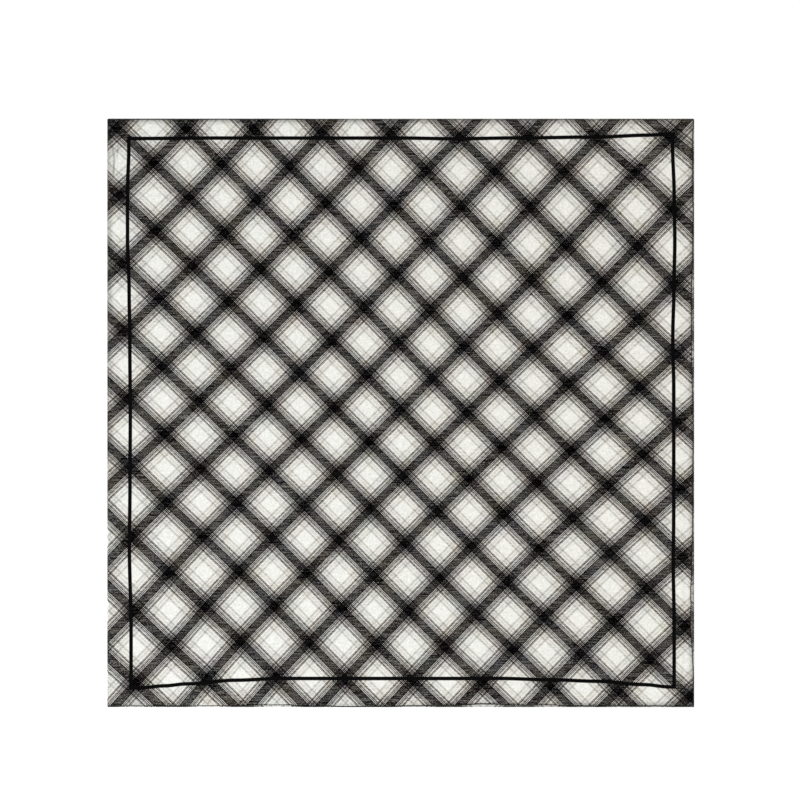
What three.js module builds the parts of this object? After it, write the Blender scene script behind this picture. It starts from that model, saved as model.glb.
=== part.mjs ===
// A square printed cotton scarf, opened out and lying flat on a surface, as seen from straight above with +Y
// away from the viewer. It is one piece of cloth with a narrow hem turned over on its four sides.
// Sizes are in millimetres and +Z is up. The origin is on the surface, under the middle of the scarf.
import * as THREE from "three";
import { mergeGeometries, mergeVertices } from "three/addons/utils/BufferGeometryUtils.js";

// Driving dimensions of the cloth
const SCARF_WIDTH = 550;
const SCARF_DEPTH = 551.4;
const CLOTH_THICKNESS = 1.0;
const CORNER_DRAW_IN = 0.5;

// The hem is a flattened roll along each side, thicker than the cloth, with a rounded outer edge
const HEM_WIDTH = 3.3;
const HEM_THICKNESS = 1.8;
const HEM_OUTER_WALL = 0.7;

// Distances of the mesh lines from each side, close together over the hem and the puckers beside it
const EDGE_LINES = [0, 0.5, 1.1, 1.8, 2.6, 3.3, 4.3, 6, 8, 10, 12, 14, 16, 18, 20, 23, 27];
const MIDDLE_LINE_COUNT = 28;

// Old storage folds, pressed almost flat: soft ridges that cross the scarf, each fading towards its far end
const CREASE_WIDTH = 7;
const CREASE_LINES = [-6, -3, -1, 1, 3, 6];
const CREASES = [
  { runs: "y", at: -3, height: 0.35, strongest: 120, fade: 230 },
  { runs: "x", at: 165, height: 0.25, strongest: -20, fade: 260 },
];

// Puckers near the hems. Each row is a patch of parallel ripples: its middle, its reach along and across the
// ripples, the distance between ripples, their height, and how far they are turned from the Y axis.
const PUCKERS = [
  { x: -263, y: 235, along: 30, across: 9, spacing: 6, height: 0.5, turn: 4 },
  { x: -262, y: 172, along: 24, across: 9, spacing: 7, height: 0.35, turn: -24 },
  { x: -262, y: 48, along: 30, across: 9, spacing: 7, height: 0.3, turn: 10 },
  { x: -262, y: -120, along: 34, across: 9, spacing: 7, height: 0.3, turn: -8 },
  { x: -261, y: -238, along: 30, across: 10, spacing: 7, height: 0.4, turn: 12 },
  { x: 263, y: 236, along: 26, across: 9, spacing: 7, height: 0.4, turn: -14 },
  { x: 263, y: 60, along: 34, across: 9, spacing: 7, height: 0.3, turn: 6 },
  { x: 263, y: -166, along: 30, across: 9, spacing: 7, height: 0.45, turn: 0 },
  { x: 263, y: -238, along: 32, across: 9, spacing: 6, height: 0.45, turn: -6 },
  { x: -150, y: 264, along: 12, across: 40, spacing: 11, height: 0.25, turn: 8 },
  { x: 190, y: 264, along: 12, across: 46, spacing: 12, height: 0.25, turn: -10 },
  { x: -190, y: -264, along: 12, across: 44, spacing: 11, height: 0.3, turn: -8 },
  { x: 60, y: -264, along: 12, across: 48, spacing: 12, height: 0.25, turn: 6 },
];

// Slow, low waves of a cloth that has only been smoothed out by hand
const SWELLS = [
  { height: 0.1, length: 150, turn: 35, shift: 0.15 },
  { height: 0.08, length: 96, turn: -48, shift: 0.4 },
  { height: 0.05, length: 61, turn: 80, shift: 0.7 },
];

const degrees = Math.PI / 180;

// A bell curve that is 1 in the middle and close to 0 at one reach from it
function bell(distance, reach) {
  return Math.exp(-3 * (distance / reach) ** 2);
}

// Height of the rolled hem at a distance from the scarf's outer edge
function hemHeight(fromEdge) {
  if (fromEdge >= HEM_WIDTH) {
    return 0;
  }
  const across = (2 * fromEdge) / HEM_WIDTH - 1;
  const roll = HEM_THICKNESS * Math.sqrt(Math.max(0, 1 - across * across));
  return Math.max(HEM_OUTER_WALL, roll);
}

function creaseHeight(x, y) {
  let height = 0;
  for (const crease of CREASES) {
    const across = crease.runs === "y" ? x - crease.at : y - crease.at;
    const along = crease.runs === "y" ? y - crease.strongest : x - crease.strongest;
    height += crease.height * bell(across, CREASE_WIDTH) * bell(along, 2 * crease.fade);
  }
  return height;
}

function puckerHeight(x, y) {
  let height = 0;
  for (const pucker of PUCKERS) {
    const cos = Math.cos(pucker.turn * degrees);
    const sin = Math.sin(pucker.turn * degrees);
    const across = (x - pucker.x) * cos + (y - pucker.y) * sin;
    const along = (y - pucker.y) * cos - (x - pucker.x) * sin;
    const ripple = 0.5 + 0.5 * Math.cos((2 * Math.PI * across) / pucker.spacing);
    height += pucker.height * ripple * bell(across, pucker.across) * bell(along, pucker.along);
  }
  return height;
}

function swellHeight(x, y) {
  let height = 0;
  for (const swell of SWELLS) {
    const across = x * Math.cos(swell.turn * degrees) + y * Math.sin(swell.turn * degrees);
    height += swell.height * (0.5 + 0.5 * Math.sin(2 * Math.PI * (across / swell.length + swell.shift)));
  }
  return height;
}

// Height of the upper face over the surface at a place on the cloth
function clothHeight(x, y) {
  const fromEdge = Math.min(SCARF_WIDTH / 2 - Math.abs(x), SCARF_DEPTH / 2 - Math.abs(y));
  if (fromEdge < HEM_WIDTH / 2) {
    return hemHeight(fromEdge);
  }
  const cloth = CLOTH_THICKNESS + creaseHeight(x, y) + puckerHeight(x, y) + swellHeight(x, y);
  return Math.max(cloth, hemHeight(fromEdge));
}

// Mesh lines across one direction: graded at both sides, even in the middle, and doubled up at the crease
function meshLines(size, creaseAt) {
  const half = size / 2;
  const inner = half - EDGE_LINES[EDGE_LINES.length - 1];
  const lines = [];
  for (const inset of EDGE_LINES) {
    lines.push(-half + inset, half - inset);
  }
  for (const offset of CREASE_LINES) {
    lines.push(creaseAt + offset);
  }
  const step = (2 * inner) / MIDDLE_LINE_COUNT;
  for (let i = 1; i < MIDDLE_LINE_COUNT; i += 1) {
    const line = -inner + i * step;
    const clearOfCrease = Math.abs(line - creaseAt) > CREASE_WIDTH;
    if (clearOfCrease) {
      lines.push(line);
    }
  }
  return lines.sort((a, b) => a - b);
}

// The upper face: a plane whose vertices are moved to the mesh lines and up to the cloth's height
function upperFace(columns, rows) {
  const face = new THREE.PlaneGeometry(1, 1, columns.length - 1, rows.length - 1);
  const position = face.getAttribute("position");
  for (let i = 0; i < position.count; i += 1) {
    const column = i % columns.length;
    const row = rows.length - 1 - Math.floor(i / columns.length);
    const atSide = column === 0 || column === columns.length - 1;
    const atEnd = row === 0 || row === rows.length - 1;
    const drawIn = atSide && atEnd ? CORNER_DRAW_IN : 0;
    const x = columns[column];
    const y = rows[row];
    position.setXYZ(i, x - Math.sign(x) * drawIn, y - Math.sign(y) * drawIn, clothHeight(x, y));
  }
  return face;
}

// Points round the upper face, counter-clockwise as seen from above
function rimPoints(face, columnCount, rowCount) {
  const position = face.getAttribute("position");
  const pointAt = (column, row) => {
    return new THREE.Vector3().fromBufferAttribute(position, row * columnCount + column);
  };
  const rim = [];
  for (let column = 0; column < columnCount - 1; column += 1) {
    rim.push(pointAt(column, rowCount - 1));
  }
  for (let row = rowCount - 1; row > 0; row -= 1) {
    rim.push(pointAt(columnCount - 1, row));
  }
  for (let column = columnCount - 1; column > 0; column -= 1) {
    rim.push(pointAt(column, 0));
  }
  for (let row = 0; row < rowCount - 1; row += 1) {
    rim.push(pointAt(0, row));
  }
  return rim;
}

// The hem's outer wall down to the surface, and the flat underside that rests on it
function wallAndUnderside(rim) {
  const points = [];
  const middle = new THREE.Vector3(0, 0, 0);
  rim.forEach((upper, i) => {
    const nextUpper = rim[(i + 1) % rim.length];
    const lower = new THREE.Vector3(upper.x, upper.y, 0);
    const nextLower = new THREE.Vector3(nextUpper.x, nextUpper.y, 0);
    points.push(lower, nextLower, nextUpper);
    points.push(lower, nextUpper, upper);
    points.push(nextLower, lower, middle);
  });
  return new THREE.BufferGeometry().setFromPoints(points);
}

function scarfCloth() {
  const columns = meshLines(SCARF_WIDTH, CREASES[0].at);
  const rows = meshLines(SCARF_DEPTH, CREASES[1].at);
  const upper = upperFace(columns, rows);
  const rim = rimPoints(upper, columns.length, rows.length);
  const upperPart = upper.toNonIndexed();
  upperPart.deleteAttribute("normal");
  upperPart.deleteAttribute("uv");
  const closed = mergeVertices(mergeGeometries([upperPart, wallAndUnderside(rim)]), 1e-3);
  closed.computeVertexNormals();
  const printedCotton = new THREE.MeshStandardMaterial({ color: 0x8f8d88, roughness: 0.95, metalness: 0 });
  const cloth = new THREE.Mesh(closed, printedCotton);
  cloth.name = "scarf_cloth";
  return cloth;
}

const scarf = new THREE.Group();
scarf.add(scarfCloth());

export default scarf;
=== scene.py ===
"""Looks of a square printed cotton scarf that lies open and flat, seen from straight above.

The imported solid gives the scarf's place and size. This script lays a thin sheet of cloth in that place,
with the same hem, puckers and old folds, prints a bias check and a border line on it, sews its hem and
lights it softly. Lengths are in millimetres until a mesh or a shader takes them. X is to the right and Y is
away from the viewer.
"""

import logging
import math
from dataclasses import dataclass
from enum import Enum
from functools import cache

import bmesh
import bpy
from mathutils import Matrix, Vector


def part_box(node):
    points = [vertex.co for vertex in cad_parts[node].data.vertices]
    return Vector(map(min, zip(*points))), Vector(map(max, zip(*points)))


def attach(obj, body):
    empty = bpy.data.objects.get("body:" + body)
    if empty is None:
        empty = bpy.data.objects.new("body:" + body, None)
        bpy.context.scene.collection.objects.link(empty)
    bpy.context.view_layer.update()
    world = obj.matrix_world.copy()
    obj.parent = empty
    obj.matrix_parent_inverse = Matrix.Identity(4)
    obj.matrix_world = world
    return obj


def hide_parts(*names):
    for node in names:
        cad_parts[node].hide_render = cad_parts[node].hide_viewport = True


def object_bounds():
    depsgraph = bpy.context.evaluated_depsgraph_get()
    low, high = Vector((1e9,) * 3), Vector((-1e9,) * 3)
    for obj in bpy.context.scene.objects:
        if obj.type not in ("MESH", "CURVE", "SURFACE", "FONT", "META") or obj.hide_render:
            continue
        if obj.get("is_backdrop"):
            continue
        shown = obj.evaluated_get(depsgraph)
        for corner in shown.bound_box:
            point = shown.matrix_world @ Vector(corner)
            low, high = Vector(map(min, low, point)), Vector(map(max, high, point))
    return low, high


LOG = logging.getLogger("scarf")
MM = 0.001

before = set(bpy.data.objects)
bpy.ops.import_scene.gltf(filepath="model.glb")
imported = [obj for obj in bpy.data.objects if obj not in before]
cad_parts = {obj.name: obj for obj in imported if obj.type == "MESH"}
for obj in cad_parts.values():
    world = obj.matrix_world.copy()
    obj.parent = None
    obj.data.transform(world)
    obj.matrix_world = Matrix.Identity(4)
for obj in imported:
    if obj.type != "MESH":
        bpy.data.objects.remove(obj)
CAD_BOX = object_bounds()
CLOTH_NODE = "scarf_cloth"
BOX_LOW, BOX_HIGH = ([part / MM for part in corner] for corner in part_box(CLOTH_NODE))
WIDTH, DEPTH = BOX_HIGH[0] - BOX_LOW[0], BOX_HIGH[1] - BOX_LOW[1]

# How steeply a bell curve falls: a twentieth is left at its reach
BELL_FALL = 3
# Usual refractive index of cotton and polyester fibres
FIBRE_IOR = 1.5
WHITE = "#FFFFFF"
# Where the mix node has its sockets for colours
SHARE, UNDER, OVER, MIXED = 0, 6, 7, 2

Stations = tuple[tuple[float, float], ...]
Colour = tuple[float, float, float, float]
Tree = bpy.types.NodeTree
Source = bpy.types.Node | bpy.types.NodeSocket


class Side(Enum):
    """The four sides of the scarf, each with its outward direction."""

    RIGHT = (1, 0)
    TOP = (0, 1)
    LEFT = (-1, 0)
    BOTTOM = (0, -1)


class Face(Enum):
    """The two faces of the printed cloth."""

    PRINTED = "printed"
    REVERSE = "reverse"


def bell(distance: float, reach: float) -> float:
    """A bell curve that is 1 in the middle and close to 0 at one reach from it."""
    return math.exp(-BELL_FALL * (distance / reach) ** 2)


def smooth(share: float) -> float:
    """Eases a share between 0 and 1 at both ends."""
    share = min(max(share, 0.0), 1.0)
    return share * share * (3 - 2 * share)


def reading(stations: Stations, place: float) -> float:
    """Reads a value between stations along a side.

    Args:
        stations: Pairs of place and value, in the order of their places.
        place: Where to read.

    Returns:
        The value, eased from one station to the next and level beyond the ends.
    """
    if place <= stations[0][0]:
        return stations[0][1]
    for (start, low), (end, high) in zip(stations, stations[1:]):
        if place <= end:
            return low + (high - low) * smooth((place - start) / (end - start))
    return stations[-1][1]


@dataclass(frozen=True)
class Crease:
    """An old storage fold, pressed almost flat: a soft ridge that fades along its run."""

    runs_up: bool
    at: float
    height: float
    strongest: float
    fade: float
    width: float = 7.0

    def rise(self, x: float, y: float) -> float:
        """Height of the ridge at a place."""
        across, along = (x - self.at, y) if self.runs_up else (y - self.at, x)
        return self.height * bell(across, self.width) * bell(along - self.strongest, 2 * self.fade)


@dataclass(frozen=True)
class Pucker:
    """A patch of parallel ripples: its middle, reach, spacing and height, and its turn in degrees."""

    x: float
    y: float
    along: float
    across: float
    spacing: float
    height: float
    turn: float

    def rise(self, x: float, y: float) -> float:
        """Reads the ripples at a place.

        Args:
            x, y: The place.

        Returns:
            The height of the ripples there.
        """
        turn = math.radians(self.turn)
        dx, dy = x - self.x, y - self.y
        if math.hypot(dx, dy) > 2 * max(self.along, self.across):
            return 0.0
        across = dx * math.cos(turn) + dy * math.sin(turn)
        along = dy * math.cos(turn) - dx * math.sin(turn)
        ripple = 0.5 + 0.5 * math.cos(math.tau * across / self.spacing)
        return self.height * ripple * bell(across, self.across) * bell(along, self.along)


@dataclass(frozen=True)
class TightFold:
    """A sharp little fold beside the seam: a narrow valley with a ridge along each flank.

    The ridges take ridge_share of its depth, and the valley takes the rest.
    """

    start: tuple[float, float]
    end: tuple[float, float]
    depth: float
    width: float = 1.5
    fade: float = 5.0
    ridge_share: float = 0.6
    ridge_offset: float = 2.0

    def across_and_fade(self, x: float, y: float) -> tuple[float, float]:
        """Finds where a place lies against the fold's line.

        Args:
            x, y: The place.

        Returns:
            The distance from the line, and the share of the depth that is left past the line's ends.
        """
        run_x, run_y = self.end[0] - self.start[0], self.end[1] - self.start[1]
        length = math.hypot(run_x, run_y)
        dx, dy = x - self.start[0], y - self.start[1]
        along = (dx * run_x + dy * run_y) / length
        past_end = max(0.0, -along, along - length)
        return (dx * run_y - dy * run_x) / length, bell(past_end, self.fade)

    def rise(self, x: float, y: float) -> float:
        """Reads the fold at a place.

        Args:
            x, y: The place.

        Returns:
            The height of the ridges there, or the depth of the valley below 0.
        """
        across, fade = self.across_and_fade(x, y)
        flanks = (-self.ridge_offset, self.ridge_offset)
        ridges = sum(bell(across + flank, self.width) for flank in flanks)
        valley = (1 - self.ridge_share) * bell(across, self.width)
        return self.depth * fade * (self.ridge_share * ridges - valley)

    def shade(self, x: float, y: float) -> float:
        """How deep in the valley a place lies, for its painted shade: 1 in the middle of a fold a
        millimetre deep.
        """
        across, fade = self.across_and_fade(x, y)
        return self.depth * fade * bell(across, self.width)


@dataclass(frozen=True)
class Swell:
    """A slow, low wave of cloth that has only been smoothed out by hand."""

    height: float
    length: float
    turn: float
    shift: float

    def rise(self, x: float, y: float) -> float:
        """Reads the wave at a place.

        Args:
            x, y: The place.

        Returns:
            The height of the wave there.
        """
        turn = math.radians(self.turn)
        across = x * math.cos(turn) + y * math.sin(turn)
        return self.height * (0.5 + 0.5 * math.sin(math.tau * (across / self.length + self.shift)))


@dataclass(frozen=True)
class Seam:
    """How the hem's seam runs along one side.

    The stations along the side give the seam's distance from the outer edge, the share of each stitch that
    stands out of the cloth, and how strong the painted shade on the doubled cloth beside it is, from 0 to
    1.
    A stitch with a share over 1 is longer and wider than usual.
    """

    inset: Stations
    stitch_shown: Stations
    # Painted shade: greys the hem's colour to stand in for the shade on the doubled cloth
    shade: Stations


@dataclass(frozen=True)
class Hem:
    """The turned hem: a flattened roll along each side, and the line of stitches that holds it down."""

    width: float = 3.3
    thickness: float = 1.3
    ease: float = 1.4
    outer_wall: float = 0.5
    groove_depth: float = 0.25
    groove_width: float = 0.9
    top: Seam = Seam(
        inset=((0, 0.42),),
        stitch_shown=(
            (-95, 1.0), (-80, 0.45), (30, 0.5), (40, 0.7), (80, 0.5), (170, 0.7), (180, 0.2), (195, 0.7),
        ),
        shade=((0, 1.0),),
    )
    left: Seam = Seam(
        inset=((0, 0.8),),
        stitch_shown=((-215, 0.4), (-170, 0.0), (-55, 0.1), (-40, 0.6), (38, 0.7), (48, 0.1), (250, 0.15)),
        shade=(
            (-110, 0.0), (-60, 0.1), (-35, 0.7), (-15, 0.7), (0, 0.1), (20, 0.1), (40, 0.3), (60, 0.4),
            (90, 0.6), (150, 0.9), (200, 0.6), (250, 0.8),
        ),
    )
    bottom: Seam = Seam(
        inset=(
            (-270, 1.3), (-148, 1.4), (-138, 2.1), (-104, 2.2), (-96, 1.4), (-88, 1.0), (-68, 1.2),
            (-57, 0.7), (-44, 0.6), (-31, 0.9), (-8, 0.9), (2, 1.3), (20, 1.4), (30, 1.9), (52, 2.1),
            (62, 2.6), (74, 3.2), (88, 3.0), (98, 2.5), (112, 2.2), (142, 2.3), (151, 1.6), (180, 1.3),
            (187, 1.1), (197, 1.4), (247, 1.4), (256, 1.1),
        ),
        stitch_shown=((-112, 1.0), (-96, 1.35), (80, 1.35), (98, 1.0)),
        shade=((-250, 0.4), (-190, 0.1), (-130, 0.3), (-60, 0.5), (60, 0.6), (110, 0.5), (160, 1.0)),
    )
    right: Seam = Seam(
        inset=(
            (-268, 1.0), (-246, 0.8), (-238, 1.1), (-231, 1.6), (-223, 1.8), (-216, 2.2), (-208, 2.9),
            (-201, 3.5), (-193, 3.4), (-178, 3.0), (-171, 3.3), (-163, 3.2), (-156, 2.7), (-141, 2.4),
            (-126, 2.1), (-111, 1.5), (-51, 1.3), (-28, 1.0), (-13, 1.0), (2, 1.3), (17, 1.6), (32, 2.0),
            (40, 2.1), (54, 2.5), (92, 2.6), (122, 2.5), (129, 2.0), (144, 1.5), (174, 1.3), (182, 0.9),
            (189, 0.8), (204, 1.4), (257, 1.5), (272, 0.8),
        ),
        stitch_shown=((0, 1.0),),
        shade=((0, 1.0),),
    )

    def seam(self, side: Side) -> Seam:
        """The seam along a side."""
        return dict(zip(Side, (self.right, self.top, self.left, self.bottom)))[side]

    def seam_inset(self, side: Side, place: float) -> float:
        """Distance of the seam from the outer edge, at a place along a side."""
        return reading(self.seam(side).inset, place)

    def rise(self, from_edge: float, lying: float) -> float:
        """Reads the hem, which is round outside and eases down to the cloth inside.

        Args:
            from_edge: Distance from the scarf's outer edge.
            lying: Height of the cloth beside the hem.

        Returns:
            The height of the hem's upper face.
        """
        middle = self.width / 2
        if from_edge < middle:
            across = from_edge / middle - 1
            return max(self.outer_wall, self.thickness * math.sqrt(max(0.0, 1 - across * across)))
        eased = smooth((from_edge - middle) / (middle + self.ease))
        return self.thickness + (lying - self.thickness) * eased


@dataclass(frozen=True)
class ClothForm:
    """The shape in which the cloth lies: what the solid has, with finer ripples in its puckers."""

    width: float = WIDTH
    depth: float = DEPTH
    thickness: float = 0.6
    corner_draw_in: float = 0.5
    hem: Hem = Hem()
    creases: tuple[Crease, ...] = (
        Crease(runs_up=True, at=-3, height=0.35, strongest=120, fade=230),
        Crease(runs_up=False, at=165, height=0.25, strongest=-20, fade=260),
    )
    puckers: tuple[Pucker, ...] = (
        Pucker(-264, 247, along=14, across=8, spacing=3.7, height=0.9, turn=20),
        Pucker(-264, 222, along=16, across=8, spacing=4.3, height=0.9, turn=-14),
        Pucker(-264, 176, along=16, across=8, spacing=3.8, height=0.8, turn=-20),
        Pucker(-262, 48, along=30, across=9, spacing=7, height=0.3, turn=10),
        Pucker(-262, -120, along=34, across=9, spacing=7, height=0.3, turn=-8),
        Pucker(-261, -238, along=30, across=10, spacing=7, height=0.4, turn=12),
        Pucker(263, 236, along=26, across=9, spacing=7, height=0.4, turn=-14),
        Pucker(263, 60, along=34, across=9, spacing=7, height=0.3, turn=6),
        Pucker(263, -166, along=30, across=9, spacing=7, height=0.45, turn=0),
        Pucker(263, -238, along=32, across=9, spacing=6, height=0.45, turn=-6),
        Pucker(-150, 264, along=12, across=40, spacing=11, height=0.25, turn=8),
        Pucker(190, 264, along=12, across=46, spacing=12, height=0.25, turn=-10),
        Pucker(-190, -264, along=12, across=44, spacing=11, height=0.3, turn=-8),
        Pucker(60, -264, along=12, across=48, spacing=12, height=0.25, turn=6),
    )
    tight_folds: tuple[TightFold, ...] = (
        TightFold((-270, 249), (-268.3, 240), depth=1.0),
        TightFold((-268.3, 240), (-269.1, 225), depth=1.0),
        TightFold((-264.5, 251), (-265.5, 242), depth=0.5),
    )
    swells: tuple[Swell, ...] = (
        Swell(height=0.1, length=150, turn=35, shift=0.15),
        Swell(height=0.08, length=96, turn=-48, shift=0.4),
        Swell(height=0.05, length=61, turn=80, shift=0.7),
    )

    def nearest_side(self, x: float, y: float) -> tuple[Side, float, float]:
        """Finds the side that a place is nearest to.

        Args:
            x, y: The place.

        Returns:
            The side, the distance from its outer edge, and the place along it.
        """
        gaps = {
            Side.RIGHT: (self.width / 2 - x, y),
            Side.TOP: (self.depth / 2 - y, x),
            Side.LEFT: (self.width / 2 + x, y),
            Side.BOTTOM: (self.depth / 2 + y, x),
        }
        side = min(gaps, key=lambda one: gaps[one][0])
        return side, *gaps[side]

    def upper(self, x: float, y: float) -> float:
        """Reads the upper face of the cloth.

        Args:
            x, y: The place.

        Returns:
            The height over the surface on which the scarf lies.
        """
        side, from_edge, place = self.nearest_side(x, y)
        relief = (*self.creases, *self.puckers, *self.tight_folds, *self.swells)
        lying = self.thickness + max(0.0, sum(part.rise(x, y) for part in relief))
        if from_edge >= self.hem.width + self.hem.ease:
            return lying
        from_seam = from_edge - self.hem.seam_inset(side, place)
        groove = self.hem.groove_depth * bell(from_seam, self.hem.groove_width)
        return max(self.hem.rise(from_edge, lying) - groove, self.hem.outer_wall)

    def fold_shade(self, x: float, y: float) -> float:
        """How deep a place lies in the valley of a tight fold, from 0 to 1, for the painted shade there."""
        return max(fold.shade(x, y) for fold in self.tight_folds)

    def lower(self, x: float, y: float, upper: float) -> float:
        """Reads the underside: down on the surface at the hem, and one cloth below the top elsewhere.

        Args:
            x, y: The place.
            upper: Height of the upper face there.

        Returns:
            The height over the surface on which the scarf lies.
        """
        _, from_edge, _ = self.nearest_side(x, y)
        lifted = max(0.0, upper - self.thickness)
        return lifted * smooth((from_edge - self.hem.width) / self.hem.width)


@dataclass(frozen=True)
class Tug:
    """A local shift of the cloth, with the print on it: its middle, its reach, and the shift there."""

    x: float
    y: float
    reach: float
    across: float
    up: float

    def share(self, x: float, y: float) -> float:
        """Share of the shift that a place gets."""
        return bell(math.hypot(x - self.x, y - self.y), self.reach)


@dataclass(frozen=True)
class PrintLayout:
    """Where the print falls on the cloth: a check on the bias, and a border line inside the hem.

    The check was printed square, and making up and pressing have pulled the cloth out of true since. Each
    row of pull gives powers of the place along X and Y, counted in half sides, and the shift of the print
    there. The stations of each border give the line's distance from the edge along a side.
    """

    half_side: float = 275.0
    pitch_falling: float = 46.1
    turn_falling: float = -45.3
    start_falling: float = 0.055
    pitch_rising: float = 42.55
    turn_rising: float = 44.6
    start_rising: float = -0.0515
    pull: tuple[tuple[int, int, float, float], ...] = (
        (3, 0, -8.8, -1.3),
        (1, 2, -3.7, -6.9),
        (2, 1, -2.0, -7.2),
        (0, 3, 2.1, -6.6),
        (2, 0, -1.6, 2.0),
        (1, 1, -1.1, 0.0),
        (0, 2, -1.1, -2.0),
    )
    tugs: tuple[Tug, ...] = (
        Tug(-280, 300, reach=150, across=-3.5, up=4.5),
        Tug(60, 300, reach=80, across=-1.5, up=5.0),
        Tug(220, 300, reach=110, across=3.5, up=5.5),
        Tug(-120, 180, reach=110, across=1.0, up=0.0),
        Tug(180, 200, reach=110, across=-0.5, up=-2.0),
        Tug(200, 100, reach=110, across=-0.5, up=1.5),
        Tug(80, 60, reach=110, across=1.0, up=0.5),
        Tug(-60, 20, reach=150, across=-0.5, up=1.0),
        Tug(-300, -60, reach=110, across=0.0, up=-3.5),
        Tug(240, -80, reach=110, across=-1.5, up=-1.5),
        Tug(120, -100, reach=200, across=0.5, up=-0.5),
        Tug(-140, -140, reach=150, across=-1.0, up=-1.5),
        Tug(-220, -200, reach=80, across=-0.5, up=2.5),
        Tug(-140, -240, reach=110, across=1.0, up=-1.5),
        Tug(260, -240, reach=80, across=1.5, up=1.5),
        Tug(100, -280, reach=110, across=-2.5, up=-1.0),
        Tug(10, 200, reach=90, across=-0.5, up=-0.5),
        Tug(-230, 0, reach=100, across=-0.5, up=0.0),
        Tug(0, -180, reach=80, across=0.0, up=-0.5),
        Tug(-70, 260, reach=70, across=0.5, up=0.5),
        Tug(95, 215, reach=90, across=-0.5, up=-1.0),
        Tug(240, 215, reach=70, across=0.0, up=-1.5),
        Tug(115, -115, reach=90, across=1.0, up=0.0),
        Tug(240, -175, reach=80, across=0.5, up=-1.0),
    )
    border_inset: float = 20.0
    border_width: float = 3.5
    straightened_over: float = 200.0
    top_border: Stations = (
        (-245, 18.4), (-175, 18.0), (0, 18.0), (50, 18.6), (115, 17.8), (185, 17.0), (230, 15.3),
        (252, 14.3),
    )
    bottom_border: Stations = (
        (-245, 18.0), (-222, 20.0), (-200, 21.9), (-155, 25.3), (-112, 26.9), (95, 26.9), (140, 25.7),
        (185, 24.3), (228, 21.2), (252, 19.0),
    )
    left_border: Stations = (
        (-245, 22.3), (-200, 22.3), (-130, 20.8), (-65, 21.3), (0, 21.6), (70, 21.1), (115, 20.5),
        (160, 19.0), (205, 19.0), (250, 20.2),
    )
    right_border: Stations = (
        (-245, 18.7), (-200, 18.7), (-143, 19.5), (-88, 19.1), (25, 19.1), (70, 20.0), (115, 19.0),
        (160, 18.1), (205, 18.7), (250, 20.2),
    )

    def repeats(self, x: float, y: float) -> tuple[float, float]:
        """Counts the check's repeats from the middle of the scarf to a place.

        Args:
            x, y: The place.

        Returns:
            The repeats across the falling and across the rising bands. Whole numbers are on a dark band.
        """
        a, b = x / self.half_side, y / self.half_side
        across = x + sum(row[2] * a ** row[0] * b ** row[1] for row in self.pull)
        up = y + sum(row[3] * a ** row[0] * b ** row[1] for row in self.pull)
        for tug in self.tugs:
            share = tug.share(x, y)
            across += tug.across * share
            up += tug.up * share
        falling, rising = math.radians(self.turn_falling), math.radians(self.turn_rising)
        over_falling = across * math.cos(falling) + up * math.sin(falling)
        over_rising = across * math.cos(rising) + up * math.sin(rising)
        return (
            self.start_falling + over_falling / self.pitch_falling,
            self.start_rising + over_rising / self.pitch_rising,
        )

    def straightened(self, x: float, y: float) -> tuple[float, float]:
        """Moves a place so that the border line, wavy on the cloth, lies border_inset inside each side.

        Args:
            x, y: The place.

        Returns:
            The moved place.
        """
        toward_side = smooth(abs(x) / self.straightened_over)
        toward_end = smooth(abs(y) / self.straightened_over)
        side = self.right_border if x > 0 else self.left_border
        end = self.top_border if y > 0 else self.bottom_border
        return (
            x + math.copysign(toward_side, x) * (reading(side, y) - self.border_inset),
            y + math.copysign(toward_end, y) * (reading(end, x) - self.border_inset),
        )


def linear_colour(code: str) -> Colour:
    """Turns an sRGB hex colour into the linear colour that a shader takes."""
    channels = (int(code[i : i + 2], 16) / 255 for i in (1, 3, 5))
    return (*(c / 12.92 if c <= 0.04045 else ((c + 0.055) / 1.055) ** 2.4 for c in channels), 1.0)


def add_node(tree: Tree, kind: str, inputs: dict | None = None, **settings: object) -> bpy.types.Node:
    """Adds a node to a shader.

    Args:
        tree: The shader's node tree.
        kind: The node's type name after "ShaderNode".
        inputs: Input names or numbers, each with a value, or with a node or an output to link from.
        settings: The node's own properties.

    Returns:
        The node.
    """
    node = tree.nodes.new(f"ShaderNode{kind}")
    for name, value in settings.items():
        setattr(node, name, value)
    for key, value in (inputs or {}).items():
        source = value.outputs[0] if isinstance(value, bpy.types.Node) else value
        if isinstance(source, bpy.types.NodeSocket):
            tree.links.new(source, node.inputs[key])
        else:
            node.inputs[key].default_value = source
    return node


def new_material(name: str) -> tuple[bpy.types.Material, Tree]:
    """Makes an empty material.

    Args:
        name: The material's name.

    Returns:
        The material and its node tree.
    """
    material = bpy.data.materials.new(name)
    material.use_nodes = True
    material.node_tree.nodes.clear()
    return material, material.node_tree


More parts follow.
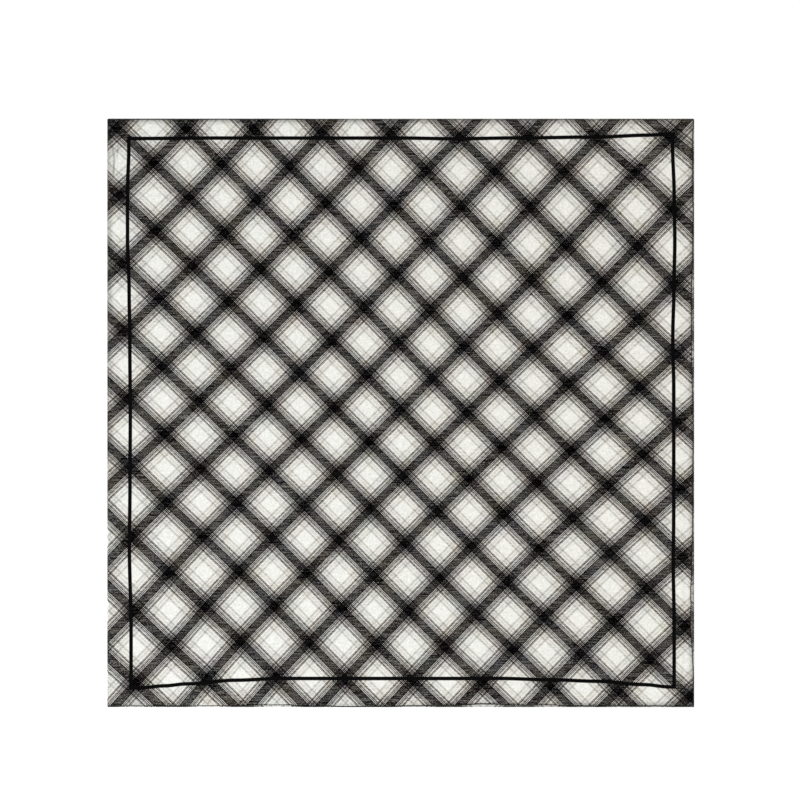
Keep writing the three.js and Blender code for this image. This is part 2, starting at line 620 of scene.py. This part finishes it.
@dataclass(frozen=True)
class PrintedCotton:
    """Plain-weave cotton lawn, bleached and then printed in one black ink with a shaded check.

    To the eye it is matt and slightly uneven: pale slubs of the weft lie over the ink, and the yarns break
    the ink up. The stripes are tones on the white ground, each at its place in 160ths of a repeat from the
    middle of a dark band. They run from one to the next, and mirror about the middle of the white ground.
    Each of the casts is a cooler and a warmer tint of the ink.
    """

    face: Face
    ground: str = "#ECECE6"
    ink: str = "#0B0B0C"
    casts: tuple[tuple[str, str], ...] = (("#F2F5FF", "#FFF1E2"), ("#F9FFF6", "#FFF6F9"))
    cast_size: float = 24.0
    cast_reach: float = 0.2
    dense_tint: str = "#B0AFE6"
    dense_below: float = 0.065
    stripes: tuple[tuple[float, str], ...] = (
        (0.0, "#383734"),
        (8.4, "#383734"),
        (9.0, "#2A2927"),
        (13.6, "#262523"),
        (13.9, "#FCFAF5"),
        (14.9, "#FCFAF5"),
        (15.2, "#020202"),
        (17.6, "#020202"),
        (17.9, "#F8F6F1"),
        (18.9, "#F8F6F1"),
        (19.3, "#343331"),
        (21.8, "#343331"),
        (22.2, "#B4B1AC"),
        (25.2, "#8A8883"),
        (26.0, "#D8D7D2"),
        (28.3, "#D8D7D2"),
        (28.8, "#191817"),
        (30.7, "#191817"),
        (31.2, "#A8A6A1"),
        (33.6, "#8A8883"),
        (36.0, "#E8E8E2"),
        (38.2, "#E8E8E2"),
        (41.2, "#D2D2CC"),
        (44.5, "#DBDBD5"),
        (47.0, "#E8E8E2"),
        (49.0, "#E2E2DC"),
        (51.0, "#C8C8C2"),
        (53.4, "#C8C8C2"),
        (57.5, "#ECECE6"),
        (80.0, "#ECECE6"),
    )
    half_repeat: float = 80.0
    rising_stretch: float = 1.05
    bleed_size: float = 1.1
    bleed: float = 0.01
    streak_size: tuple[float, float] = (15.0, 0.6)
    streak_strength: float = 3.0
    speckle_size: tuple[float, float] = (0.75, 0.65)
    speckle_strength: float = 4.2
    least_ink: float = 0.42
    border_softness: float = 0.3
    reverse_paleness: float = 0.08
    # Painted shade on the hem: where it begins and fades out from the edge, and how dark it is at most
    hem_start: float = 0.5
    hem_reach: float = 7.0
    hem_shade: float = 0.46
    # Painted shade in the valleys of tight folds, for each millimetre of depth
    fold_depth_shade: float = 0.62
    cloud_size: float = 1.5
    cloud_strength: float = 0.62
    thread_pitch: float = 0.5
    weave_share: float = 0.3
    bump_strength: float = 0.4
    bump_height: float = 0.1
    roughness: float = 0.9
    specular: float = 0.01

    def transmittance(self, code: str) -> Colour:
        """Share of the ground's light that a stripe of this tone leaves."""
        tone, ground = linear_colour(code), linear_colour(self.ground)
        return (*(min(1.0, t / g) for t, g in zip(tone[:3], ground[:3])), 1.0)

    def grain(
        self, tree: Tree, place: Source, size: tuple[float, float], strength: float, detail: float = 1.0
    ) -> bpy.types.Node:
        """Adds a cloudy grain.

        Args:
            tree: The shader's node tree.
            place: Object coordinates.
            size: The size of its grains along X and Y.
            strength: How far it reaches in all, half above 0 and half below.
            detail: How many times finer grains lie over it.

        Returns:
            The node that gives the grain.
        """
        scale = (1 / (size[0] * MM), 1 / (size[1] * MM), 1 / (size[1] * MM))
        stretched = add_node(tree, "Mapping", {"Vector": place, "Scale": scale})
        noise = add_node(tree, "TexNoise", {"Vector": stretched, "Scale": 1.0, "Detail": detail})
        return add_node(tree, "Math", {0: noise, 1: strength, 2: -strength / 2}, operation="MULTIPLY_ADD")

    def band(self, tree: Tree, repeats: Source, stretch: float) -> bpy.types.Node:
        """Lays the stripes across one direction of the check.

        Args:
            tree: The shader's node tree.
            repeats: The repeats counted to the place, whole on a dark band.
            stretch: How much wider than charted the stripes are, outward from the dark band's middle.

        Returns:
            The node that gives the light left by the full ink.
        """
        folded = add_node(tree, "Math", {0: repeats, 1: 0.5}, operation="PINGPONG")
        share = add_node(tree, "Math", {0: folded, 1: 2.0 / stretch}, operation="MULTIPLY")
        tones = add_node(tree, "ValToRGB", {"Fac": share})
        ramp = tones.color_ramp
        while len(ramp.elements) < len(self.stripes):
            ramp.elements.new(1.0)
        for element, (place, code) in zip(ramp.elements, self.stripes):
            element.position = place / self.half_repeat
            element.color = self.transmittance(code)
        return tones

    def check(self, tree: Tree, place: Source) -> tuple[Source, Source]:
        """Prints the stripes in two directions.

        Each printing takes unevenly: streaks along the weft, and yarn by yarn, thin or thicken the ink. It
        also bleeds a little along the yarns, so the stripes' edges wander.

        Args:
            tree: The shader's node tree.
            place: Object coordinates.

        Returns:
            The light that the ink leaves, and the streaks of the rising bands.
        """
        counts = add_node(tree, "SeparateXYZ", {0: add_node(tree, "UVMap", uv_map="check_repeats")}).outputs
        bleed = self.grain(tree, place, (self.bleed_size, self.bleed_size), self.bleed)
        # A metre away the grain is another one, so the two printings take unevenly in different places
        elsewhere = add_node(tree, "VectorMath", {0: place, 1: (1.0, 1.0, 0.0)}, operation="ADD")
        bands = []
        for count, at, stretch in ((counts[0], place, 1.0), (counts[1], elsewhere, self.rising_stretch)):
            streaks = self.grain(tree, at, self.streak_size, self.streak_strength)
            speckle = self.grain(tree, at, self.speckle_size, self.speckle_strength)
            uneven = add_node(tree, "Math", {0: streaks, 1: speckle}, operation="ADD")
            density = add_node(tree, "Math", {0: 1.0, 1: uneven}, operation="ADD")
            density = add_node(tree, "Math", {0: density, 1: self.least_ink}, operation="MAXIMUM")
            repeats = add_node(tree, "Math", {0: count, 1: bleed}, operation="ADD")
            band = self.band(tree, repeats, stretch)
            bands.append(add_node(tree, "Gamma", {"Color": band, "Gamma": density}))
        falling, rising = bands
        both = {SHARE: 1.0, UNDER: falling, OVER: rising}
        return add_node(tree, "Mix", both, data_type="RGBA", blend_type="MULTIPLY").outputs[MIXED], streaks

    def tinted(self, tree: Tree, place: Source, check: Source) -> Source:
        """Tints the ink, which leans to brown or blue and to green or mauve from place to place.

        Where it is dense it is a blue black.

        Args:
            tree: The shader's node tree.
            place: Object coordinates.
            check: The light that the ink leaves.

        Returns:
            The light that the tinted ink leaves.
        """
        bare = add_node(tree, "RGBToBW", {0: check})
        inked = add_node(tree, "Math", {0: 1.0, 1: bare}, operation="SUBTRACT")
        for shift, (cool, warm) in enumerate(self.casts):
            # Each cast is in places of its own
            moved = add_node(tree, "VectorMath", {0: place, 1: (float(shift), 0.0, 0.0)}, operation="ADD")
            lean = self.grain(tree, moved, (self.cast_size, self.cast_size), 1.0, detail=2.0)
            lean_range = {"Value": lean, "From Min": -self.cast_reach, "From Max": self.cast_reach}
            lean = add_node(tree, "MapRange", lean_range)
            cast = {SHARE: lean, UNDER: linear_colour(cool), OVER: linear_colour(warm)}
            cast = add_node(tree, "Mix", cast, data_type="RGBA").outputs[MIXED]
            cast = {SHARE: inked, UNDER: check, OVER: cast}
            check = add_node(tree, "Mix", cast, data_type="RGBA", blend_type="MULTIPLY").outputs[MIXED]
        dense = add_node(tree, "MapRange", {"Value": bare, "From Min": self.dense_below, "From Max": 0.0})
        darkest = {SHARE: dense, UNDER: check, OVER: linear_colour(self.dense_tint)}
        return add_node(tree, "Mix", darkest, data_type="RGBA", blend_type="MULTIPLY").outputs[MIXED]

    def border_line(self, tree: Tree) -> bpy.types.Node:
        """Draws the border line, at one distance inside each side of the straightened cloth.

        Args:
            tree: The shader's node tree.

        Returns:
            The node that gives 1 on the line and 0 off it.
        """
        layout = PrintLayout()
        flat = add_node(tree, "SeparateXYZ", {0: add_node(tree, "UVMap", uv_map="border_place")}).outputs
        inside = []
        for part, size in ((flat[0], WIDTH), (flat[1], DEPTH)):
            outward = add_node(tree, "Math", {0: part}, operation="ABSOLUTE")
            line_at = (size / 2 - layout.border_inset) * MM
            inside.append(add_node(tree, "Math", {0: outward, 1: line_at}, operation="SUBTRACT"))
        off_line = add_node(tree, "Math", {0: inside[0], 1: inside[1]}, operation="MAXIMUM")
        off_line = add_node(tree, "Math", {0: off_line}, operation="ABSOLUTE")
        half_line = layout.border_width / 2 * MM
        within = add_node(tree, "Math", {0: half_line, 1: off_line}, operation="SUBTRACT")
        edge = {0: within, 1: 1 / (self.border_softness * MM), 2: 0.5}
        return add_node(tree, "Math", edge, operation="MULTIPLY_ADD", use_clamp=True)

    def shade(self, tree: Tree, place: Source) -> bpy.types.Node:
        """Paints shade on the hem's doubled cloth, the strip its seam draws up and the valleys of tight
        folds.

        Args:
            tree: The shader's node tree.
            place: Object coordinates.

        Returns:
            The node that gives how light the cloth looks, which is 1 and a little cloudy on the open cloth.
        """
        # Painted shade, darker towards the hem's edge and in the valleys of tight folds
        hem = add_node(tree, "SeparateXYZ", {0: add_node(tree, "UVMap", uv_map="hem_shade")}).outputs
        hem_range = {
            "Value": hem[0],
            "From Min": self.hem_start * MM,
            "From Max": self.hem_reach * MM,
            "To Min": self.hem_shade,
            "To Max": 0.0,
        }
        near = add_node(tree, "MapRange", hem_range, interpolation_type="SMOOTHSTEP")
        painted_hem_shade = add_node(tree, "Math", {0: near, 1: hem[1]}, operation="MULTIPLY")
        valley = add_node(tree, "SeparateXYZ", {0: add_node(tree, "UVMap", uv_map="fold_shade")})
        painted_fold_shade = add_node(tree, "Math", {0: valley, 1: self.fold_depth_shade}, operation="MULTIPLY")
        size = (self.cloud_size, self.cloud_size)
        cloud = self.grain(tree, place, size, self.cloud_strength, detail=2.0)
        beside_hem = add_node(tree, "Math", {0: 1.0, 1: painted_hem_shade}, operation="SUBTRACT")
        open_sky = add_node(tree, "Math", {0: 1.0, 1: painted_fold_shade}, operation="SUBTRACT", use_clamp=True)
        lit = add_node(tree, "Math", {0: beside_hem, 1: open_sky}, operation="MULTIPLY")
        clouded = add_node(tree, "Math", {0: 1.0, 1: cloud}, operation="ADD")
        return add_node(tree, "Math", {0: lit, 1: clouded}, operation="MULTIPLY")

    def relief(self, tree: Tree, place: Source, streaks: Source) -> bpy.types.Node:
        """Raises the slubs, and warp and weft, which cross every half millimetre and only show close up.

        Args:
            tree: The shader's node tree.
            place: Object coordinates.
            streaks: The streaks of slubs.

        Returns:
            The node that gives the bump.
        """
        axes = add_node(tree, "SeparateXYZ", {0: place}).outputs
        waves = []
        for axis in (axes[0], axes[1]):
            phase = {0: axis, 1: math.tau / (2 * self.thread_pitch * MM)}
            phase = add_node(tree, "Math", phase, operation="MULTIPLY")
            waves.append(add_node(tree, "Math", {0: phase}, operation="SINE"))
        weave = add_node(tree, "Math", {0: waves[0], 1: waves[1]}, operation="MULTIPLY")
        height = {0: weave, 1: self.weave_share, 2: streaks}
        height = add_node(tree, "Math", height, operation="MULTIPLY_ADD")
        bump = {"Height": height, "Strength": self.bump_strength, "Distance": self.bump_height * MM}
        return add_node(tree, "Bump", bump)

    def build(self) -> bpy.types.Material:
        """Makes the material for one face of the cloth.

        Returns:
            The material.
        """
        material, tree = new_material(f"printed_cotton_{self.face.value}")
        place = add_node(tree, "TexCoord").outputs["Object"]
        check, streaks = self.check(tree, place)
        check = self.tinted(tree, place, check)
        lined = {SHARE: self.border_line(tree), UNDER: check, OVER: self.transmittance(self.ink)}
        printed = add_node(tree, "Mix", lined, data_type="RGBA").outputs[MIXED]
        if self.face is Face.REVERSE:
            paler = {SHARE: self.reverse_paleness, UNDER: printed, OVER: linear_colour(WHITE)}
            printed = add_node(tree, "Mix", paler, data_type="RGBA").outputs[MIXED]
        on_ground = {SHARE: 1.0, UNDER: linear_colour(self.ground), OVER: printed}
        colour = add_node(tree, "Mix", on_ground, data_type="RGBA", blend_type="MULTIPLY").outputs[MIXED]
        shaded = {0: colour, "Scale": self.shade(tree, place)}
        surface = {
            "Base Color": add_node(tree, "VectorMath", shaded, operation="SCALE"),
            "Roughness": self.roughness,
            "IOR": FIBRE_IOR,
            "Specular IOR Level": self.specular,
            "Normal": self.relief(tree, place, streaks),
        }
        add_node(tree, "OutputMaterial", {"Surface": add_node(tree, "BsdfPrincipled", surface)})
        return material


@dataclass(frozen=True)
class SewingThread:
    """Black spun polyester sewing thread: matt, with a fine twist whose bands get a painted highlight."""

    colour: str = "#0B0B0B"
    twist_highlight_colour: str = "#1B1A1A"
    twist_pitch: float = 0.6
    twist_wander: float = 0.5
    bump_strength: float = 0.4
    bump_height: float = 0.1
    roughness: float = 0.75
    specular: float = 0.15

    def build(self) -> bpy.types.Material:
        """Makes the material of the stitches.

        Returns:
            The material.
        """
        material, tree = new_material("black_sewing_thread")
        twist = {
            "Vector": add_node(tree, "TexCoord").outputs["Object"],
            "Scale": 1 / (self.twist_pitch * MM) / math.tau,
            "Distortion": self.twist_wander,
        }
        twist = add_node(tree, "TexWave", twist, bands_direction="DIAGONAL").outputs["Fac"]
        # Painted highlight: the twist's bands are a paler black where they would catch light
        painted_twist_highlight = {SHARE: twist, UNDER: linear_colour(self.colour), OVER: linear_colour(self.twist_highlight_colour)}
        bump = {"Height": twist, "Strength": self.bump_strength, "Distance": self.bump_height * MM}
        surface = {
            "Base Color": add_node(tree, "Mix", painted_twist_highlight, data_type="RGBA").outputs[MIXED],
            "Roughness": self.roughness,
            "IOR": FIBRE_IOR,
            "Specular IOR Level": self.specular,
            "Normal": add_node(tree, "Bump", bump),
        }
        add_node(tree, "OutputMaterial", {"Surface": add_node(tree, "BsdfPrincipled", surface)})
        return material


@dataclass(frozen=True)
class LitTable:
    """The surface under the scarf: white opal acrylic that glows a little, so that it stays pure white."""

    colour: str = "#FAFAFA"
    glow: float = 0.14
    roughness: float = 0.9
    specular: float = 0.1

    def build(self) -> bpy.types.Material:
        """Makes the material of the table.

        Returns:
            The material.
        """
        material, tree = new_material("white_table")
        surface = {
            "Base Color": linear_colour(self.colour),
            "Roughness": self.roughness,
            "Specular IOR Level": self.specular,
            "Emission Color": linear_colour(WHITE),
            "Emission Strength": self.glow,
        }
        add_node(tree, "OutputMaterial", {"Surface": add_node(tree, "BsdfPrincipled", surface)})
        return material


def finished_object(
    name: str, shape: bmesh.types.BMesh, materials: list[bpy.types.Material]
) -> bpy.types.Object:
    """Turns a finished bmesh into a smooth-shaded object at the origin.

    Args:
        name: The object's name.
        shape: The bmesh, in metres, which is freed.
        materials: The materials that its faces count through.

    Returns:
        The object.
    """
    mesh = bpy.data.meshes.new(name)
    shape.to_mesh(mesh)
    shape.free()
    for material in materials:
        mesh.materials.append(material)
    mesh.shade_smooth()
    thing = bpy.data.objects.new(name, mesh)
    bpy.context.scene.collection.objects.link(thing)
    return thing


@dataclass(frozen=True)
class ScarfCloth:
    """The scarf's one piece of cloth: a thin closed sheet with its hem and its two printed faces."""

    form: ClothForm = ClothForm()
    layout: PrintLayout = PrintLayout()
    hem_lines: tuple[float, ...] = (0, 0.3, 0.7, 1.1, 1.6, 2.1, 2.7, 3.3, 4.2, 5.3)
    edge_strip: float = 16.0
    edge_step: float = 0.9
    middle_step: float = 3.8

    def mesh_lines(self, size: float) -> list[float]:
        """Places the mesh lines across one direction: close together over the hem and the strip inside it.

        Args:
            size: The scarf's size in that direction.

        Returns:
            The places of the lines, from one edge to the other.
        """
        half = size / 2
        insets = list(self.hem_lines)
        while insets[-1] + self.edge_step < self.edge_strip:
            insets.append(insets[-1] + self.edge_step)
        inner = half - insets[-1]
        count = round(2 * inner / self.middle_step)
        middle = [-inner + 2 * inner * i / count for i in range(1, count)]
        return [inset - half for inset in insets] + middle + [half - inset for inset in reversed(insets)]

    def place_vertices(self, shape: bmesh.types.BMesh, columns: list[float], rows: list[float]) -> None:
        """Moves an even grid of two units a side to the mesh lines, and draws its corners in.

        Args:
            shape: The grid.
            columns: The places of the lines along X.
            rows: The places of the lines along Y.
        """
        for vertex in shape.verts:
            column = round((vertex.co.x + 1) / 2 * (len(columns) - 1))
            row = round((vertex.co.y + 1) / 2 * (len(rows) - 1))
            x, y = columns[column], rows[row]
            if column in (0, len(columns) - 1) and row in (0, len(rows) - 1):
                x -= math.copysign(self.form.corner_draw_in, x)
                y -= math.copysign(self.form.corner_draw_in, y)
            vertex.co = Vector((x, y, 0))

    def write_print_places(self, shape: bmesh.types.BMesh) -> None:
        """Writes the UV maps that the print and the painted shades read, and gives each face its finish.

        Outside the seam the hem is turned over, so it shows the reverse of the cloth beyond the edge.

        Args:
            shape: The closed sheet, in millimetres.
        """
        check_map = shape.loops.layers.uv.new("check_repeats")
        hem_map = shape.loops.layers.uv.new("hem_shade")
        border_map = shape.loops.layers.uv.new("border_place")
        fold_map = shape.loops.layers.uv.new("fold_shade")
        repeats, straightened = cache(self.layout.repeats), cache(self.layout.straightened)
        fold_shade = cache(self.form.fold_shade)
        half_width, half_depth = self.form.width / 2, self.form.depth / 2
        for face in shape.faces:
            middle = face.calc_center_median()
            side, from_edge, place = self.form.nearest_side(middle.x, middle.y)
            looks_up = face.normal.z > 0
            turned = looks_up and from_edge < self.form.hem.seam_inset(side, place)
            face.material_index = 0 if looks_up and not turned else 1
            for loop in face.loops:
                x, y, _ = loop.vert.co
                nearest, inset, along = self.form.nearest_side(x, y)
                # Where and how strongly the hem and the tight folds get painted shade
                loop[hem_map].uv = (inset * MM, reading(self.form.hem.seam(nearest).shade, along))
                loop[fold_map].uv = (fold_shade(x, y), 0.0)
                if turned:
                    x += 2 * (half_width * side.value[0] - x) * abs(side.value[0])
                    y += 2 * (half_depth * side.value[1] - y) * abs(side.value[1])
                loop[check_map].uv = repeats(x, y)
                loop[border_map].uv = [part * MM for part in straightened(x, y)]

    def build(self, finishes: list[bpy.types.Material]) -> bpy.types.Object:
        """Makes the cloth.

        Args:
            finishes: The materials of the printed face and of the reverse.

        Returns:
            The closed sheet, in its place on the surface.
        """
        columns, rows = self.mesh_lines(self.form.width), self.mesh_lines(self.form.depth)
        shape = bmesh.new()
        bmesh.ops.create_grid(shape, x_segments=len(columns) - 1, y_segments=len(rows) - 1, size=1)
        self.place_vertices(shape, columns, rows)
        lifted = bmesh.ops.extrude_face_region(shape, geom=shape.faces[:], use_keep_orig=True)["geom"]
        above = {part for part in lifted if isinstance(part, bmesh.types.BMVert)}
        upper = cache(self.form.upper)
        for vertex in shape.verts:
            x, y, _ = vertex.co
            vertex.co.z = upper(x, y) if vertex in above else self.form.lower(x, y, upper(x, y))
        bmesh.ops.recalc_face_normals(shape, faces=shape.faces[:])
        self.write_print_places(shape)
        bmesh.ops.scale(shape, vec=(MM, MM, MM), verts=shape.verts[:])
        return finished_object("scarf_sheet", shape, finishes)


@dataclass(frozen=True)
class HemStitches:
    """The lockstitches that hold the hem down on all four sides.

    A stitch whose shown share is under least_shown has sunk into the cloth, and isn't made.
    """

    form: ClothForm = ClothForm()
    pitch: float = 2.3
    length: float = 2.6
    width: float = 1.0
    thickness: float = 0.6
    least_shown: float = 0.1
    end_gap: float = 1.2
    bead_sides: int = 6
    bead_rings: int = 4

    def seam_point(self, side: Side, place: float) -> Vector:
        """Finds a point of the seam, on the cloth.

        Args:
            side: The side of the scarf.
            place: The place along it.

        Returns:
            The point, as high as the higher flank of a stitch.
        """
        inset = self.form.hem.seam_inset(side, place)
        out_x, out_y = side.value
        x = out_x * (self.form.width / 2 - inset) + abs(out_y) * place
        y = out_y * (self.form.depth / 2 - inset) + abs(out_x) * place
        flanks = (-self.width / 2, self.width / 2)
        return Vector((x, y, max(self.form.upper(x - out_x * step, y - out_y * step) for step in flanks)))

    def build(self, finish: bpy.types.Material) -> bpy.types.Object:
        """Makes the stitches, one small flattened bead of thread each.

        Args:
            finish: The thread's material.

        Returns:
            The stitches of all four sides, as one object.
        """
        shape, bead = bmesh.new(), bmesh.new()
        bmesh.ops.create_uvsphere(bead, u_segments=self.bead_sides, v_segments=self.bead_rings, radius=1)
        for side in Side:
            run = (self.form.depth if side.value[0] else self.form.width) - 2 * self.end_gap
            count = math.floor(run / self.pitch)
            for i in range(count):
                place = (i + 0.5) * run / count - run / 2
                shown = reading(self.form.hem.seam(side).stitch_shown, place)
                if shown < self.least_shown:
                    continue
                start, end = (self.seam_point(side, place + step * self.length / 2) for step in (-1, 1))
                along = end - start
                turn = Vector((1, 0, 0)).rotation_difference(along).to_matrix().to_4x4()
                length, width = shown * self.length, shown * self.width
                size = Matrix.Diagonal((length / 2, width / 2, self.thickness / 2, 1))
                matrix = Matrix.Scale(MM, 4) @ Matrix.Translation((start + end) / 2) @ turn @ size
                copied = [shape.verts.new(matrix @ vertex.co) for vertex in bead.verts]
                for face in bead.faces:
                    shape.faces.new([copied[vertex.index] for vertex in face.verts])
        bead.free()
        return finished_object("hem_stitches", shape, [finish])


@dataclass(frozen=True)
class Studio:
    """The camera, the table and the lights.

    The photograph is square and looks straight down. Its scale and the scarf's place in it are measured in
    parts of the frame, which is 800 wide. The table and the lamps are in metres and watts.
    """

    frame_side: float = 800.0
    mm_for_each_part: float = 0.9376
    scarf_at: tuple[float, float] = (400.68, 413.03)
    lens: float = 85.0
    sensor: float = 36.0
    floor_side: float = 12.0
    key_at: tuple[float, float, float] = (-1.05, -0.95, 2.1)
    key_side: float = 1.4
    key_power: float = 46.0
    key_colour: str = "#F9FCFF"
    warm_at: tuple[float, float, float] = (0.75, 0.2, 0.9)
    warm_side: float = 0.3
    warm_power: float = 1.2
    warm_colour: str = "#FFE3BE"
    dome_strength: float = 0.462

    def camera(self) -> bpy.types.Object:
        """Places a long-lens camera straight above, so that the scarf falls where the photograph has it.

        Returns:
            The camera.
        """
        data = bpy.data.cameras.new("camera")
        data.lens = self.lens
        data.sensor_width = self.sensor
        middle = self.frame_side / 2
        thing = bpy.data.objects.new("camera", data)
        thing.location = (
            (middle - self.scarf_at[0]) * self.mm_for_each_part * MM,
            (self.scarf_at[1] - middle) * self.mm_for_each_part * MM,
            self.lens / self.sensor * self.frame_side * self.mm_for_each_part * MM,
        )
        bpy.context.scene.collection.objects.link(thing)
        bpy.context.scene.camera = thing
        return thing

    def floor(self) -> bpy.types.Object:
        """Makes the plain white table, well past the view.

        Returns:
            The table.
        """
        shape = bmesh.new()
        bmesh.ops.create_grid(shape, x_segments=1, y_segments=1, size=self.floor_side / 2)
        thing = finished_object("table", shape, [LitTable().build()])
        thing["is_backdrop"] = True
        return thing

    def lamp(
        self, name: str, at: tuple[float, float, float], side: float, power: float, colour: str
    ) -> None:
        """Adds a square soft light that faces the scarf.

        Args:
            name: The lamp's name.
            at: Its place in metres.
            side: Its side in metres.
            power: Its power in watts.
            colour: Its sRGB hex colour.
        """
        data = bpy.data.lights.new(name, "AREA")
        data.shape = "SQUARE"
        data.size = side
        data.energy = power
        data.color = linear_colour(colour)[:3]
        thing = bpy.data.objects.new(name, data)
        thing.location = at
        thing.rotation_euler = Vector(at).to_track_quat("Z", "Y").to_euler()
        bpy.context.scene.collection.objects.link(thing)

    def lights(self) -> None:
        """A soft key light from the lower left, a weak warm lamp on the right, and an even dome."""
        self.lamp("key", self.key_at, self.key_side, self.key_power, self.key_colour)
        self.lamp("warm_lamp", self.warm_at, self.warm_side, self.warm_power, self.warm_colour)
        world = bpy.data.worlds.new("dome")
        world.use_nodes = True
        background = world.node_tree.nodes["Background"]
        background.inputs["Color"].default_value = linear_colour(WHITE)
        background.inputs["Strength"].default_value = self.dome_strength
        bpy.context.scene.world = world

    def build(self) -> None:
        """Sets up the view."""
        self.camera()
        self.floor()
        self.lights()
        bpy.context.scene.view_settings.view_transform = "Standard"


def report(thing: bpy.types.Object) -> None:
    """Says what was made."""
    LOG.info("%s: %d faces", thing.name, len(thing.data.polygons))


def main() -> None:
    """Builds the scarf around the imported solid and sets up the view."""
    logging.basicConfig(level=logging.INFO, format="%(name)s: %(message)s")
    Studio().build()

    cloth = ScarfCloth().build([PrintedCotton(Face.PRINTED).build(), PrintedCotton(Face.REVERSE).build()])
    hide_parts(CLOTH_NODE)
    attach(cloth, "root")
    report(cloth)

    stitches = HemStitches().build(SewingThread().build())
    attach(stitches, "root")
    report(stitches)

    boxes = {"cad": CAD_BOX, "visual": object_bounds()}
    boxes = {name: [list(corner) for corner in box] for name, box in boxes.items()}


if __name__ == "__main__":
    main()
